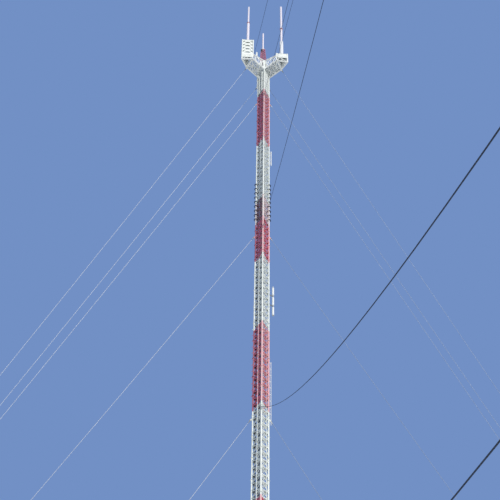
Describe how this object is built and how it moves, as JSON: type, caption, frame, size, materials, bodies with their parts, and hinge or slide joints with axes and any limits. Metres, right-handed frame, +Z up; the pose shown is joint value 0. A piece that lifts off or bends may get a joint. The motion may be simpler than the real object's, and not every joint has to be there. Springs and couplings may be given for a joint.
{
  "type": "guyed radio mast, scale model 1:20",
  "caption": "Tall three-sided lattice mast held by taut stays, with a three-armed lattice top that carries upright antennas. Scale model 1:20.",
  "frame": {"origin": "on the flat underside of the base pier, under the mast's axis", "axes": "+Z up the mast; -Y towards the near corner leg; +X towards the right-hand arm"},
  "size_m": [21.2178, 18.3751, 22.2648],
  "materials": {
    "band_paint": "painted steel in red and white bands, weathered",
    "white_paint": "weathered white paint",
    "spire_paint": "red paint over a white lower part",
    "radome": "white glass-fibre tube",
    "white_cover": "white antenna cover",
    "stay_rope": "twisted galvanised steel rope",
    "zinc_steel": "hot-dip galvanised steel",
    "feeder_jacket": "black cable jacket",
    "concrete": "plain cast concrete"
  },
  "bodies": {
    "root": {"anchor_inner_left": "concrete", "anchor_inner_near": "concrete", "anchor_inner_right": "concrete", "anchor_outer_left": "concrete", "anchor_outer_near": "concrete", "anchor_outer_right": "concrete", "antenna_back": "radome", "antenna_left": "radome", "antenna_right": "radome", "arm_back": "white_paint", "arm_left": "white_paint", "arm_right": "white_paint", "bar_antenna": "white_cover", "base_bearing": "zinc_steel", "base_pier": "concrete", "bracing_back_lower": "band_paint", "bracing_back_middle": "band_paint", "bracing_back_upper": "band_paint", "bracing_left_lower": "band_paint", "bracing_left_middle": "band_paint", "bracing_left_upper": "band_paint", "bracing_right_lower": "band_paint", "bracing_right_middle": "band_paint", "bracing_right_upper": "band_paint", "cap_plate_back": "white_paint", "cap_plate_left": "white_paint", "cap_plate_right": "white_paint", "deck_post": "white_cover", "feeder_lines": "feeder_jacket", "floor_back": "zinc_steel", "floor_left": "zinc_steel", "floor_right": "zinc_steel", "ladder_rails": "zinc_steel", "leg_left": "band_paint", "leg_near": "band_paint", "leg_right": "band_paint", "short_cage": "white_paint", "spire": "spire_paint", "stays_inner_left": "stay_rope", "stays_inner_near": "stay_rope", "stays_inner_right": "stay_rope", "stays_outer_left": "stay_rope", "stays_outer_near": "stay_rope", "stays_outer_right": "stay_rope", "tall_cage": "white_paint", "tapered_foot": "band_paint", "top_plate": "white_paint", "triple_antenna": "white_cover"}
  },
  "joints": []
}
